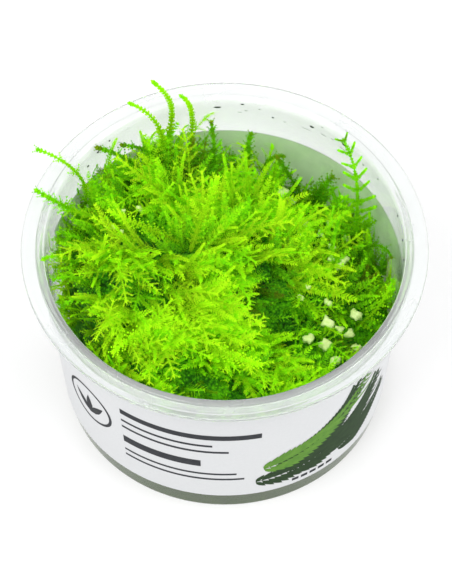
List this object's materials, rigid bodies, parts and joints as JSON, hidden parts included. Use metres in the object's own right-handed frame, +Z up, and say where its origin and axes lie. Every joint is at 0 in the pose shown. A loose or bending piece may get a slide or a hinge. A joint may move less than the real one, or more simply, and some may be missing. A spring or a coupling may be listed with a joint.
{
  "type": "tissue culture moss in a tub",
  "caption": "Clear flanged plastic tub with a wrap label, holding a layer of culture gel and a dense mound of feathery bright green aquarium moss.",
  "frame": {"origin": "middle of the tub's flat base, on the surface that it stands on", "axes": "+Z up through the tub's mouth, -Y towards the printed front of the label, +X to its right"},
  "size_m": [0.1, 0.1, 0.0708],
  "materials": {
    "clear_plastic": "clear, slightly milky, glossy moulded plastic with fine condensation inside",
    "label_paper": null,
    "culture_gel": "olive green translucent set gel with a wet sheen",
    "moss_green": "soft mid green felt of overlapping leafy shoots, dark in its hollows",
    "frond_lime": "lime green leafy shoots with a soft satin face",
    "frond_dark": "mid to dark green leafy shoots",
    "frond_bright": "bright yellow green young fronds"
  },
  "bodies": {
    "root": {"cup": "clear_plastic", "label": "label_paper", "gel": "culture_gel", "moss_mat": "moss_green", "tall_shoot_1": "frond_lime", "tall_shoot_2": "frond_lime", "tall_shoot_3": "frond_lime", "tall_shoot_4": "frond_lime", "rim_frond_1": "frond_lime", "rim_frond_2": "frond_lime", "rim_frond_3": "frond_lime", "rim_frond_4": "frond_lime", "back_frond_1": "frond_dark", "back_frond_2": "frond_dark", "back_frond_3": "frond_dark", "back_frond_4": "frond_dark", "back_frond_5": "frond_dark", "back_frond_6": "frond_dark", "back_frond_7": "frond_dark", "back_frond_8": "frond_dark", "back_frond_9": "frond_dark", "right_frond_1": "frond_dark", "right_frond_2": "frond_dark", "right_frond_3": "frond_dark", "right_frond_4": "frond_dark", "crown_frond_1": "frond_bright", "crown_frond_2": "frond_bright", "crown_frond_3": "frond_bright", "crown_frond_4": "frond_bright", "crown_frond_5": "frond_bright"}
  },
  "joints": []
}
